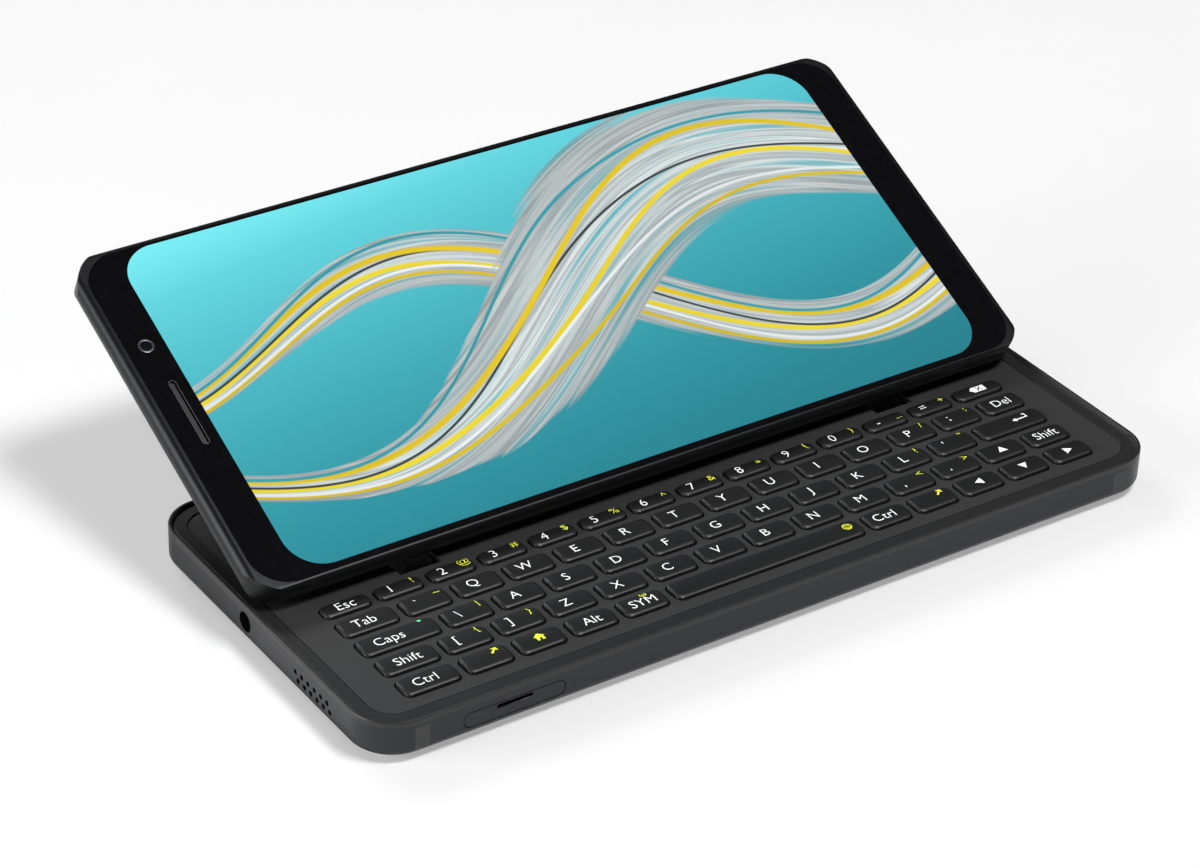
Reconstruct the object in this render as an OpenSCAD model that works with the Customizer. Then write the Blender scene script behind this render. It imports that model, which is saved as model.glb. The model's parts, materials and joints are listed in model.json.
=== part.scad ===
// Landscape slider phone, drawn open: the display half stands on two pairs of
// swing arms behind a five-row keyboard. Millimetres. X runs along the long side,
// +Y goes from the typist to the back, +Z is up. The origin is the middle of the
// underside, on the surface that the phone lies on.

/* [Base half] */
// Length of the phone, left to right
body_w = 154; // [150:0.5:158]
// Depth of the phone, front to back
body_d = 70.6; // [70.2:0.2:72]
// Height of the base half at its raised rim
base_h = 7.6; // [7.6:0.1:9]
// Radius of the phone's corners, seen from above
corner_r = 7.6; // [7.4:0.1:8.4]
// Thickness of the metal side wall
wall = 1.5; // [1.3:0.1:1.7]
// Height at which the metal wall meets the black deck frame, down from the rim
split_drop = 1.25; // [1:0.05:1.4]
// Rise of the lower edge above the surface, where the back cover bellies out
belly = 1; // [0.9:0.1:1.3]
// Radius that rounds the lower edge of the side wall
edge_r = 1.4; // [1.2:0.1:1.6]
// Width of the metal seen underneath, out to the back cover's seam
seam_in = 2.6; // [2.4:0.1:2.8]
// Thickness of the back cover
cover_t = 0.9; // [0.8:0.05:1]

/* [Deck] */
// Drop from the rim to the keyboard deck
deck_drop = 0.6; // [0.5:0.05:0.8]
// Drop from the deck to the rear panel under the display
panel_drop = 0.15; // [0.1:0.05:0.25]
// Thickness of the keyboard deck
deck_t = 0.8; // [0.7:0.05:0.9]
// Width of the raised rim
rim_w = 0.55; // [0.4:0.05:0.7]
// Width of the ring from the outside to the deck's groove
ring_w = 3.1; // [2.9:0.1:3.4]
// Gap round the deck and the rear panel
deck_gap = 0.15; // [0.1:0.05:0.2]
// Distance from the front of the phone to the deck's back edge
deck_depth = 37.4; // [37.1:0.1:38]

/* [Keyboard] */
// Distance from the keyboard's ends to the ends of the phone
key_margin = 9.1; // [8.8:0.1:9.5]
// Room that the two end keys of a letter row leave beyond the keys between them
row_ends = 19.76; // [19.5:0.02:20]
// Distance from one row to the next
row_pitch = 6.03; // [5.95:0.01:6.1]
// Web of the deck between two keys
key_web = 1.05; // [0.95:0.05:1.2]
// Depth of the keys in the four front rows
key_d = 4.98; // [4.8:0.02:5.04]
// Depth of the keys in the number row
number_key_d = 3.8; // [3.6:0.05:3.85]
// Distance from the front of the phone to the first row
key_front = 5.65; // [5.5:0.05:5.8]
// Radius of the keys' corners
key_r = 1.4; // [1:0.1:1.6]
// Gap round each key in the deck
key_gap = 0.15; // [0.12:0.01:0.2]
// Height of the keys above the deck
key_rise = 0.7; // [0.5:0.05:0.75]
// Travel of a key
key_travel = 0.4; // [0.3:0.05:0.45]

/* [Display half] */
// Thickness of the display half
disp_t = 5.8; // [5.6:0.1:6.4]
// Tilt of the display when open, from the base
tilt = 24.8; // [24.5:0.1:25]
// Height of the glass's lower edge above the surface when open
disp_lift = 11.3; // [11.3:0.02:11.6]
// Distance of the glass's lower edge from the front when open
disp_back = 34.66; // [34.6:0.02:35]
// Gap between the rim and the display half when closed
shut_gap = 0.5; // [0.4:0.05:0.7]
// Thickness of the cover glass
glass_t = 1.2; // [1:0.05:1.3]
// Distance from the glass to the long edges
glass_in_v = 1.2; // [1.15:0.05:1.4]
// Distance from the glass to the short edges
glass_in_u = 1.65; // [1.55:0.05:1.8]
// Thickness of the screen panel
panel_t = 1.5; // [1.3:0.05:1.5]
// Thickness of the metal plate behind the screen
plate_t = 0.5; // [0.4:0.05:0.5]

/* [Swing hinge] */
// Distance from the side of the phone to the centre of each hinge slot
hinge_inset = 29.45; // [29:0.05:30]
// Width of each hinge slot
slot_w = 7.7; // [7.6:0.05:7.9]
// Distance from the front of the phone to the hinge slots
slot_front = 35; // [34.8:0.1:35.2]
// Width of one arm, measured along its pin
arm_w = 2.4; // [2.2:0.05:2.5]
// Half of an arm's depth between its eyes
arm_half = 1.2; // [1:0.05:1.3]
// Radius of the eye at the base
base_eye_r = 1.8; // [1.7:0.05:1.9]
// Radius of the eye at the display
disp_eye_r = 1.4; // [1.3:0.05:1.45]
// Radius of the pins
pin_r = 0.7; // [0.6:0.05:0.75]
// Running clearance round a pin
pin_fit = 0.05; // [0.03:0.01:0.08]
// Height of the base pins above the surface
base_pin_z = 3.9; // [3.7:0.1:4.1]
// Front arm's pin in the display, up from its lower edge
front_pin_v = 33.2; // [33:0.1:33.4]
// Rear arm's pin in the display, up from its lower edge
rear_pin_v = 42; // [41.8:0.1:42.2]
// Depth of the display pins behind its back face
disp_pin_w = 1.2; // [1.15:0.05:1.25]

/* [Sockets and buttons] */
// Radius of the headphone socket
jack_r = 1.75; // [1.75:0.01:1.8]
// Depth of the headphone socket
jack_len = 14; // [13:0.5:15]
// Distance of the headphone socket from the front
jack_back = 39.6; // [39.5:0.1:42]
// Height of the headphone socket above the surface
jack_z = 4.45; // [4.35:0.05:4.5]
// Width of the charging socket's mouth
usb_w = 8.94; // [8.9:0.02:9]
// Height of the charging socket's mouth
usb_h = 3.16; // [3.1:0.02:3.2]
// Height of the side buttons
button_h = 2.2; // [2:0.1:2.4]
// Gap round the side buttons
button_gap = 0.12; // [0.1:0.01:0.15]
// How far the side buttons stand out
button_out = 0.35; // [0.3:0.05:0.4]
// Length of the volume rocker
volume_l = 20; // [18:0.5:22]
// Length of the power button
power_l = 12; // [10:0.5:13]
// Length of the shutter button
shutter_l = 9; // [8:0.5:10]
// Width of the card tray's face
tray_w = 18.4; // [17.5:0.1:19]
// Height of the card tray's face
tray_h = 2.7; // [2.5:0.05:2.8]
// Length of the card tray, front to back
tray_len = 13; // [12:0.5:14]

/* [Hidden] */
$fn = 48;
tiny = 0.01;
long = 400;

// Heights of the base, from the surface up
split_z = base_h - split_drop;
deck_z = base_h - deck_drop;
deck_low = deck_z - deck_t;
panel_z = deck_z - panel_drop;
groove_z = deck_z - 0.05;
ledge_t = 0.5;
shelf_z = belly + 0.55;
shelf_t = 0.5;
floor_z = cover_t;

// Plan of the base
front_y = -body_d / 2;
deck_in = ring_w + deck_gap;
ledge_in = ring_w + 1.1;
deck_back_y = front_y + deck_depth;
slot_y0 = front_y + slot_front;
hinge_x = body_w / 2 - hinge_inset;
slot_y1 = -front_y - wall - 0.9;

// Keys
field_w = body_w - 2 * key_margin;
key_pitch = (field_w - row_ends) / 12;
hole_x0 = -field_w / 2;
row_starts = [for (k = [11.35, 11.35, 15.3, 11.35, 9.8]) hole_x0 + k * key_pitch / 9.67];
flange_out = 0.3;
flange_t = 0.6;
flange_z = deck_low - 0.15 - flange_t;
key_top_z = deck_z + key_rise;
dome_drop = 0.4;
mat_gap = 0.05;
bump_z = flange_z - key_travel - mat_gap;
mat_t = 0.15;
bump_h = 0.2;
mat_z = bump_z - bump_h - mat_t;
kb_board_t = 0.55;
kb_board_z = mat_z - kb_board_t;
kb_board_w = body_w - 16;
kb_board_y0 = front_y + 4.4;
kb_board_y1 = slot_y0 - 0.5;
bump_r = 1.2;

// Main board and what stands on it
board_w = body_w - 18;
board_z = floor_z + 0.9;
board_t = 0.8;
board_top = board_z + board_t;
board_y0 = front_y + 5.2;
board_y1 = slot_y0 - 2.2;
boss_r = 1.8;
screw_r = 0.7;
screw_head_r = 1.4;
screw_head_t = 0.4;
boss_x = board_w / 2 - 4;
boss_spots = [for (x = [-boss_x, 0, boss_x], y = [board_y1 - 4, board_y0 + 4.6]) [x, y]];
shield_top = kb_board_z - 0.1;
shield_d = 14;
battery_side = 3.75;
battery_gap = 1;
battery_top = 4.6;

// Display half, in its own frame: u along X, v up from its lower edge, w out of its
// back face. The back is rounded by a long ellipse towards each long edge.
back_round_v = 11;
back_round_w = 3.8;
back_round_u = 4.2;
front_round_v = 1.1;
front_round_u = 1.5;
front_round_w = disp_t - back_round_w;
glass_w0 = disp_t - glass_t;
panel_w0 = glass_w0 - panel_t;
plate_w0 = panel_w0 - plate_t;
shell_floor = 1;
trim_w = 0.3;
bracket_t = 0.6;
web_t = 0.35;
pocket_v0 = front_pin_v - 4.8;
pocket_v1 = rear_pin_v + 10.8;
open_y = front_y + disp_back + disp_t * sin(tilt);
open_z = disp_lift - disp_t * cos(tilt);
shut_z = base_h + shut_gap;
camera_in = 5.25;
camera_up = 50.4;
camera_uv = [camera_in - body_w / 2, camera_up];
earpiece_in = 5.9;
earpiece_up = 36.2;
earpiece_uv = [earpiece_in - body_w / 2, earpiece_up];
earpiece_l = 13;
earpiece_d = 1.1;

// Swing hinge. A display pin is at v in the display; its base pin is on the
// bisector of the pin's open and closed places, so the arm reaches both.
function open_pin(v) = [open_y + v * cos(tilt) - disp_pin_w * sin(tilt),
                        open_z + v * sin(tilt) + disp_pin_w * cos(tilt)];
function shut_pin(v) = [front_y + v, shut_z + disp_pin_w];
function base_pin_y(v) =
    let (a = open_pin(v), b = shut_pin(v), m = (a + b) / 2, d = a - b)
    m[0] + (m[1] - base_pin_z) * d[1] / d[0];
front_base_y = base_pin_y(front_pin_v);
rear_base_y = base_pin_y(rear_pin_v);
cheek_t = 0.5;
cheek_gap = 0.05;
cheek_in = slot_w / 2 - cheek_gap - cheek_t;
battery_w = 2 * (hinge_x - cheek_in - cheek_t - battery_side);
cheek_top = panel_z - 0.75;
bracket_floor_t = 0.4;
bracket_y0 = slot_y0 + 2;
bracket_y1 = -front_y - corner_r - 0.4;
bracket_y2 = -front_y - seam_in - 1.15;
arm_side_gap = 0.25;
front_arm_x = hinge_x - cheek_in + arm_side_gap;
rear_arm_x = hinge_x + cheek_in - arm_side_gap - arm_w;

// Sockets, holes and buttons
jack_y = front_y + jack_back;
jack_wall = 0.25;
jack_floor = 0.3;
jack_body_d = 2 * jack_r + 0.7;
usb_z = 3.85;
usb_wall = 0.2;
usb_len = 6.6;
usb_y = 0;
speaker_rows = [4.55, 3.25];
speaker_first = [front_y + 23.8, front_y + 22.95];
speaker_step = 1.92;
speaker_count = 6;
speaker_hole_r = 0.48;
speaker_y = front_y + 18.4;
speaker_l = 14;
speaker_w = 5.4;
speaker_z0 = 2.8;
speaker_z1 = 5.4;
button_z = 4.1;
button_in = 0.7;
button_lip = 0.35;
fulcrum_r = 0.5;
volume_x = -body_w / 5;
power_x = 0;
shutter_x = body_w / 2 - 16;
tray_x = 24.9 - body_w / 2;
tray_z = 3.75;
tray_gap = 0.1;
tray_plate_t = 0.7;
tray_plate_z = 3.2;
tray_slit_w = 6.4;
tray_slit_h = 0.7;
band_w = 2.6;
band_depth = 0.7;
band_x = body_w / 2 - 8.4;
band_cap_t = 0.35;

// Rear cameras, looking down through the back cover
cam_x = body_w / 2 - 16;
cam_y = 17.5;
cam_step = 9.5;
flash_y = 23.6;
window_x = cam_x;
window_y = 14.6;
window_w = 10.4;
window_d = 24;
window_t = 0.5;
window_r = 5;

// ---------------------------------------------------------------- shapes

module rrect(w, d, r) {
    square([w - 2 * r, d], center = true);
    square([w, d - 2 * r], center = true);
    for (x = [-1, 1], y = [-1, 1])
        translate([x * (w / 2 - r), y * (d / 2 - r)]) circle(r);
}

// A rectangle with rounded corners, from its lower left corner
module rbox(x, y, w, d, r) {
    translate([x + w / 2, y + d / 2]) rrect(w, d, r);
}

module slab(z0, z1) {
    translate([0, 0, z0]) linear_extrude(z1 - z0) children();
}

// A bar with round ends along X, standing in the X-Z plane, pushed along +Y
module stadium_y(l, h, y0, y1) {
    translate([0, y1, 0]) rotate([90, 0, 0]) linear_extrude(y1 - y0) {
        square([l - h, h], center = true);
        for (s = [-1, 1]) translate([s * (l - h) / 2, 0]) circle(h / 2);
    }
}

// Sweeps a profile of [inset, height] round the phone's outline
module swept(w, d, r) {
    for (k = [0 : 3]) {
        along = k % 2 == 0 ? w : d;
        across = k % 2 == 0 ? d : w;
        rotate(90 * k) {
            translate([-along / 2 + r, -across / 2, 0]) rotate([90, 0, 90])
                linear_extrude(along - 2 * r) children();
            translate([along / 2 - r, -across / 2 + r, 0]) rotate(-90)
                rotate_extrude(angle = 90) translate([r, 0]) mirror([1, 0]) children();
        }
    }
}

function arc(cx, cy, r, a0, a1, n) =
    [for (i = [0 : n]) let (a = a0 + (a1 - a0) * i / n) [cx + r * cos(a), cy + r * sin(a)]];

// Height of the slope under the frame at an inset from the wall
edge_end = 255;
edge_end_s = edge_r * (1 + cos(edge_end));
edge_end_z = belly + edge_r * (1 + sin(edge_end));
function belly_z(s) = edge_end_z - (s - edge_end_s) * tan(edge_end - 240);

// ---------------------------------------------------------------- base shells

module frame_ring() {
    swept(body_w, body_d, corner_r) polygon(concat(
        [[0, split_z]],
        arc(edge_r, belly + edge_r, edge_r, 180, edge_end, 6),
        [[seam_in, belly_z(seam_in)], [seam_in, shelf_z], [seam_in + 1, shelf_z],
         [seam_in + 1, shelf_z + shelf_t], [wall, shelf_z + shelf_t], [wall, split_z]]));
}

module band_blocks() {
    for (x = [-band_x, band_x], s = [-1, 1])
        translate([x, s * (body_d / 2), (split_z + belly) / 2])
            cube([band_w, 2 * band_depth, split_z - belly - 2 * band_cap_t], center = true);
}

module wall_openings() {
    // Headphone socket and its speaker holes on the left
    translate([-body_w / 2 - 1, jack_y, jack_z]) rotate([0, 90, 0]) cylinder(r = jack_r, h = wall + 2);
    for (s = [-1, 1]) speaker_holes(s);
    // Charging socket on the right
    translate([body_w / 2 - wall - 3, usb_y, usb_z]) rotate(-90)
        stadium_y(usb_w + 2 * usb_wall, usb_h + 2 * usb_wall, 0, wall + 4);
    // Buttons in the back wall
    for (b = [[volume_x, volume_l], [power_x, power_l], [shutter_x, shutter_l]])
        translate([b[0], 0, button_z])
            stadium_y(b[1] + 2 * button_gap, button_h + 2 * button_gap, -front_y - wall - 1, -front_y + 1);
    // Card tray in the front wall
    translate([tray_x, 0, tray_z])
        stadium_y(tray_w + 2 * tray_gap, tray_h + 2 * tray_gap, front_y - 1, front_y + wall + 1);
}

module speaker_holes(side) {
    for (row = [0, 1], i = [0 : speaker_count - 1])
        translate([side * (body_w / 2 - wall / 2), speaker_first[row] - speaker_step * i, speaker_rows[row]])
            rotate([0, 90, 0]) cylinder(r = speaker_hole_r, h = wall + 1, center = true, $fn = 24);
}

module side_frame() {
    color([0.33, 0.34, 0.35]) difference() {
        frame_ring();
        wall_openings();
        band_blocks();
        jack_pocket(tiny);
    }
}

module antenna_bands() {
    color([0.42, 0.43, 0.44]) intersection() {
        frame_ring();
        band_blocks();
    }
}

module back_cover() {
    seat = seam_in + deck_gap;
    slope = corner_r - tiny - seat;
    color([0.20, 0.21, 0.22]) difference() {
        union() {
            swept(body_w, body_d, corner_r) polygon([
                [seat, belly_z(seat)], [seat + 0.4 * slope, belly_z(seat) * 0.45],
                [seat + 0.7 * slope, belly_z(seat) * 0.14], [corner_r - tiny, 0], [corner_r - tiny, cover_t],
                [seat + 0.7 * slope, cover_t + 0.15], [seat + 0.4 * slope, cover_t + 0.4],
                [seat + 0.9, shelf_z - tiny], [seat, shelf_z - tiny]]);
            slab(0, cover_t)
                square([body_w - 2 * corner_r + 2 * tiny, body_d - 2 * corner_r + 2 * tiny], center = true);
            for (p = boss_spots) translate([p[0], p[1], cover_t - tiny])
                cylinder(r = boss_r, h = board_z - cover_t + tiny);
        }
        slab(-1, window_t) translate([window_x, window_y]) rrect(window_w + 0.2, window_d + 0.2, window_r);
        slab(-1, 2) translate([window_x, window_y]) rrect(window_w - 3, window_d - 3, window_r - 1.6);
        for (p = boss_spots) translate([p[0], p[1], board_z - 1.5]) cylinder(r = screw_r, h = 3);
    }
}

module deck_frame() {
    color([0.13, 0.13, 0.14]) difference() {
        swept(body_w, body_d, corner_r) polygon([
            [0, split_z], [0, base_h - 0.25], [0.07, base_h - 0.07], [0.25, base_h], [rim_w, base_h],
            [rim_w + 0.2, base_h - 0.3], [rim_w + 0.3, groove_z], [rim_w + 0.5, groove_z],
            [rim_w + 0.55, deck_z + 0.05], [ring_w, deck_z + 0.05], [ring_w, deck_low],
            [ledge_in, deck_low], [ledge_in, deck_low - ledge_t], [wall + 0.1, deck_low - ledge_t],
            [wall + 0.1, split_z]]);
        jack_pocket(tiny);
        slab(0, long) slot_outline(0);
    }
}

// Room for the headphone socket in the side wall's shelf and under the deck
module jack_pocket(extra) {
    z0 = jack_z - jack_r - jack_floor - 0.05;
    translate([-body_w / 2 + wall, jack_y - jack_body_d / 2 - 0.1, z0])
        cube([jack_len + 1, jack_body_d + 0.2, jack_z + jack_r + jack_wall - z0 + extra]);
}

module deck_outline() {
    rrect(body_w - 2 * deck_in, body_d - 2 * deck_in, corner_r - deck_in);
}

module slot_outline(extra) {
    for (s = [-1, 1])
        translate([s * hinge_x, (slot_y0 + slot_y1) / 2])
            square([slot_w + 2 * extra, slot_y1 - slot_y0 + 2 * extra], center = true);
}

module keyboard_deck() {
    color([0.22, 0.22, 0.23]) slab(deck_low, deck_z) difference() {
        intersection() {
            deck_outline();
            translate([-long / 2, front_y - 1]) square([long, deck_back_y - front_y + 1]);
        }
        for (row = [0 : 4], k = [0 : 13]) if (k < row_len(row)) key_hole(row, k);
        slot_outline(0);
    }
}

module rear_panel() {
    color([0.15, 0.15, 0.16]) difference() {
        slab(deck_low, panel_z) difference() {
            intersection() {
                deck_outline();
                translate([-long / 2, deck_back_y + deck_gap]) square([long, body_d]);
            }
            slot_outline(0);
        }
        jack_pocket(tiny);
    }
}

// ---------------------------------------------------------------- keyboard

// Rows count from the front. Each row has its left key, a run of keys one pitch
// apart, and a last key that fills the row. The space bar takes four pitches.
spans = [[1, 1, 1, 1, 4, 1, 1, 1, 1], [for (i = [1 : 12]) 1], [for (i = [1 : 11]) 1],
         [for (i = [1 : 12]) 1], [for (i = [1 : 12]) 1]];
function row_len(row) = len(spans[row]) + 2;
function steps(row, n) = n <= 0 ? 0 : spans[row][n - 1] + steps(row, n - 1);
function key_x0(row, k) = k == 0 ? hole_x0 : row_starts[row] + key_pitch * steps(row, k - 1);
function key_x1(row, k) = k == row_len(row) - 1 ? -hole_x0 : key_x0(row, k + 1) - key_web;
function row_depth(row) = row == 4 ? number_key_d : key_d;
function row_y0(row) = front_y + key_front + row_pitch * row;

module key_rect(row, k, grow) {
    x0 = key_x0(row, k) - grow;
    x1 = key_x1(row, k) + grow;
    rbox(x0, row_y0(row) - grow, x1 - x0, row_depth(row) + 2 * grow, key_r + grow);
}

module key_hole(row, k) {
    key_rect(row, k, 0);
}

module key(row, k) {
    mid_y = row_y0(row) + row_depth(row) / 2;
    half = row_depth(row) / 2 - key_gap;
    dome_r = (half * half + dome_drop * dome_drop) / (2 * dome_drop);
    x0 = key_x0(row, k) + key_gap - 1;
    x1 = key_x1(row, k) - key_gap + 1;
    z = key_top_z;
    intersection() {
        slab(flange_z + flange_t / 2, z + 1) key_rect(row, k, -key_gap);
        translate([0, mid_y, z - dome_r]) rotate([0, 90, 0])
            cylinder(r = dome_r, h = long, center = true, $fn = 96);
        translate([0, mid_y + half + 1, 0]) rotate([90, 0, 0]) linear_extrude(2 * half + 2) polygon([
            [x0, 0], [x0, z - 0.34], [x0 + 1, z - 0.34], [x0 + 1.3, z - 0.15], [x0 + 1.8, z + tiny],
            [x1 - 1.8, z + tiny], [x1 - 1.3, z - 0.15], [x1 - 1, z - 0.34], [x1, z - 0.34], [x1, 0]]);
    }
    slab(flange_z, flange_z + flange_t) key_rect(row, k, flange_out);
}

module keys(row, first, last) {
    color([0.16, 0.16, 0.17]) for (k = [first : last]) key(row, k);
}

module key_mat() {
    color([0.75, 0.75, 0.72]) {
        slab(mat_z, mat_z + mat_t) translate([-kb_board_w / 2, kb_board_y0])
            square([kb_board_w, kb_board_y1 - kb_board_y0]);
        for (row = [0 : 4], k = [0 : 13]) if (k < row_len(row))
            translate([(key_x0(row, k) + key_x1(row, k)) / 2, row_y0(row) + row_depth(row) / 2,
                       mat_z + mat_t - tiny])
                cylinder(r = bump_r, h = bump_h + tiny, $fn = 24);
    }
}

module keyboard_board() {
    color([0.12, 0.35, 0.22]) slab(kb_board_z, mat_z)
        translate([-kb_board_w / 2, kb_board_y0]) square([kb_board_w, kb_board_y1 - kb_board_y0]);
}

// ---------------------------------------------------------------- inside the base

module main_board() {
    color([0.10, 0.32, 0.20]) difference() {
        slab(board_z, board_top) translate([-board_w / 2, board_y0]) square([board_w, board_y1 - board_y0]);
        for (p = boss_spots) translate([p[0], p[1], board_z - 1]) cylinder(r = screw_r, h = board_t + 2);
    }
}

module board_shields() {
    color([0.72, 0.73, 0.74]) {
        for (x = [-0.228, -0.077, 0.088]) slab(board_top, shield_top - 0.2)
            translate([x * board_w, front_y + 19.8]) rrect(0.13 * board_w, shield_d, 1);
        slab(board_top, shield_top - 0.2)
            translate([0.28 * board_w, front_y + 17.8]) rrect(0.175 * board_w, shield_d, 1);
    }
}

module board_screws() {
    color([0.6, 0.6, 0.62]) for (p = boss_spots) translate([p[0], p[1], 0]) {
        translate([0, 0, board_z - 1.4]) cylinder(r = screw_r - tiny, h = board_t + 1.4 + tiny, $fn = 24);
        difference() {
            translate([0, 0, board_top]) cylinder(r = screw_head_r, h = screw_head_t, $fn = 24);
            translate([0, 0, board_top + screw_head_t / 2]) cylinder(r = 0.5, h = 1, $fn = 6);
        }
    }
}

module battery() {
    color([0.2, 0.2, 0.22]) slab(floor_z, battery_top)
        rbox(-battery_w / 2, slot_y0 + battery_gap, battery_w, bracket_y1 - slot_y0 - battery_gap, 1.2);
}

module headphone_socket() {
    x0 = -body_w / 2 + wall;
    color([0.18, 0.18, 0.19]) difference() {
        translate([x0, jack_y - jack_body_d / 2, jack_z - jack_r - jack_floor])
            cube([jack_len - wall + 0.8, jack_body_d, 2 * jack_r + jack_floor + jack_wall]);
        translate([x0 - 1, jack_y, jack_z]) rotate([0, 90, 0]) cylinder(r = jack_r, h = jack_len - wall + 1);
    }
}

module usb_c_socket() {
    x1 = body_w / 2 - 0.7;
    color([0.7, 0.7, 0.72]) translate([x1, usb_y, usb_z]) rotate(-90)
        translate([0, -usb_len, 0]) difference() {
        stadium_y(usb_w + 2 * usb_wall - tiny, usb_h + 2 * usb_wall - tiny, 0, usb_len);
        stadium_y(usb_w, usb_h, 0.6, usb_len + 1);
    }
    color([0.1, 0.1, 0.11]) translate([x1 - usb_len, usb_y - 3.2, usb_z - 0.35])
        cube([usb_len - 1.2, 6.4, 0.7]);
}

module speaker(side) {
    x1 = body_w / 2 - wall;
    color([0.12, 0.12, 0.13])
        translate([side > 0 ? x1 - speaker_w : -x1, speaker_y - speaker_l / 2, speaker_z0])
        cube([speaker_w, speaker_l, speaker_z1 - speaker_z0]);
}

module vibration_motor() {
    color([0.7, 0.7, 0.72]) translate([15 - body_w / 2, -front_y - 14.8, floor_z])
        cylinder(r = 4, h = 2.7);
}

module sim_reader() {
    l = tray_len - 3;
    color([0.68, 0.69, 0.7]) translate([tray_x, front_y + 5.5, 0]) difference() {
        slab(board_top, tray_plate_z + tray_plate_t + 0.15) translate([-tray_w / 2 - 0.9, 0])
            square([tray_w + 1.8, l]);
        slab(tray_plate_z - 0.15, 9) translate([-tray_w / 2 + 0.1, -1]) square([tray_w - 0.2, l + 2]);
    }
}

module sim_tray() {
    color([0.34, 0.35, 0.36]) translate([tray_x, 0, 0]) {
        difference() {
            intersection() {
                translate([0, 0, tray_z]) stadium_y(tray_w, tray_h, front_y - 1, front_y + wall);
                translate([-tray_x, 0, 0]) frame_ring();
            }
            translate([-tray_slit_w / 2, front_y - 1, tray_z + 0.35]) cube([tray_slit_w, 1.7, tray_slit_h]);
        }
        difference() {
            translate([-tray_w / 2 + 0.4, front_y + wall - tiny, tray_plate_z])
                cube([tray_w - 0.8, tray_len - wall, tray_plate_t]);
            translate([-6.2, front_y + wall + 1.2, tray_plate_z + 0.2]) cube([12.4, 8.9, 1]);
        }
    }
}

module button(x, l) {
    color([0.30, 0.31, 0.32]) translate([x, 0, button_z]) {
        stadium_y(l, button_h, -front_y - wall - button_in, -front_y + button_out);
        stadium_y(l + 2 * button_lip, button_h + 2 * button_lip,
                  -front_y - wall - button_in, -front_y - wall - 0.2);
    }
}

// The volume rocker tilts a little to either end on a round fulcrum behind it
module volume_rocker() {
    button(volume_x, volume_l);
    color([0.30, 0.31, 0.32]) translate([volume_x, -front_y - wall - button_in, button_z - 0.9])
        cylinder(r = fulcrum_r, h = 1.8);
}

module rear_cameras() {
    for (i = [0, 1]) translate([cam_x, cam_y - cam_step * i, 0]) {
        color([0.1, 0.1, 0.11]) slab(cover_t, 5.4 - 0.5 * i) rrect(8.6, 8.6, 0.8);
        color([0.05, 0.06, 0.08]) translate([0, 0, window_t + 0.02])
            cylinder(r = 2.9 - 0.3 * i, h = cover_t - window_t);
    }
}

module camera_window() {
    color([0.03, 0.03, 0.035]) slab(0.05, window_t) translate([window_x, window_y])
        rrect(window_w, window_d, window_r);
}

module flash_light() {
    color([0.95, 0.9, 0.7]) translate([cam_x, flash_y, window_t + 0.02]) cylinder(r = 1, h = 0.9);
}

// ---------------------------------------------------------------- swing hinge

module hinge_bracket(side) {
    color([0.62, 0.63, 0.65]) difference() {
        for (s = [-1, 1]) translate([side * hinge_x + s * (cheek_in + cheek_t / 2) - cheek_t / 2, 0, 0])
            rotate([90, 0, 90]) linear_extrude(cheek_t) polygon([
                [bracket_y0, floor_z], [bracket_y1, floor_z], [bracket_y2 - 1.6, floor_z + 0.85],
                [bracket_y2, floor_z + 1.5], [bracket_y2, cheek_top], [bracket_y0, cheek_top]]);
        hinge_pin_holes();
    }
    color([0.62, 0.63, 0.65]) translate([side * hinge_x - cheek_in - tiny, bracket_y0, floor_z])
        cube([2 * cheek_in + 2 * tiny, bracket_y1 - bracket_y0, bracket_floor_t]);
}

module pin_along_x(x0, x1, y, z, r) {
    translate([x0, y, z]) rotate([0, 90, 0]) cylinder(r = r, h = x1 - x0);
}

module hinge_pin_holes() {
    for (y = [front_base_y, rear_base_y]) pin_along_x(-long / 2, long / 2, y, base_pin_z, pin_r);
}

module hinge_pins() {
    half = cheek_in + cheek_t;
    color([0.8, 0.8, 0.82]) for (s = [-1, 1], y = [front_base_y, rear_base_y])
        pin_along_x(s * hinge_x - half, s * hinge_x + half, y, base_pin_z, pin_r - tiny / 2);
}

// An arm between two eyes, drawn in the Y-Z plane and pushed along X
module arm(side, x, base_y, pin, bored) {
    x0 = side > 0 ? x : -x - arm_w;
    reach = pin - [base_y, base_pin_z];
    turn = atan2(reach[1], reach[0]);
    color([0.58, 0.59, 0.6]) difference() {
        translate([x0, base_y, base_pin_z]) rotate([90, 0, 90]) linear_extrude(arm_w) {
            circle(base_eye_r);
            rotate(turn) translate([0, -arm_half]) square([norm(reach), 2 * arm_half]);
            translate(reach) circle(disp_eye_r);
        }
        pin_along_x(-long / 2, long / 2, base_y, base_pin_z, pin_r + pin_fit);
        if (bored) pin_along_x(-long / 2, long / 2, pin[0], pin[1], pin_r + pin_fit);
    }
}

module front_arm(side) {
    arm(side, front_arm_x, front_base_y, open_pin(front_pin_v), true);
}

module rear_arm(side) {
    arm(side, rear_arm_x, rear_base_y, open_pin(rear_pin_v), false);
}

module display_pins() {
    p = open_pin(front_pin_v);
    half = cheek_in + cheek_t;
    color([0.8, 0.8, 0.82]) for (s = [-1, 1]) pin_along_x(
        s > 0 ? hinge_x - half : -front_arm_x - arm_w - 0.15,
        s > 0 ? front_arm_x + arm_w + 0.15 : -hinge_x + half, p[0], p[1], pin_r - tiny / 2);
}

// ---------------------------------------------------------------- display half

// Places what is drawn in the display's own frame in the open pose
module in_display() {
    translate([0, open_y, open_z]) rotate([tilt, 0, 0]) children();
}

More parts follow.
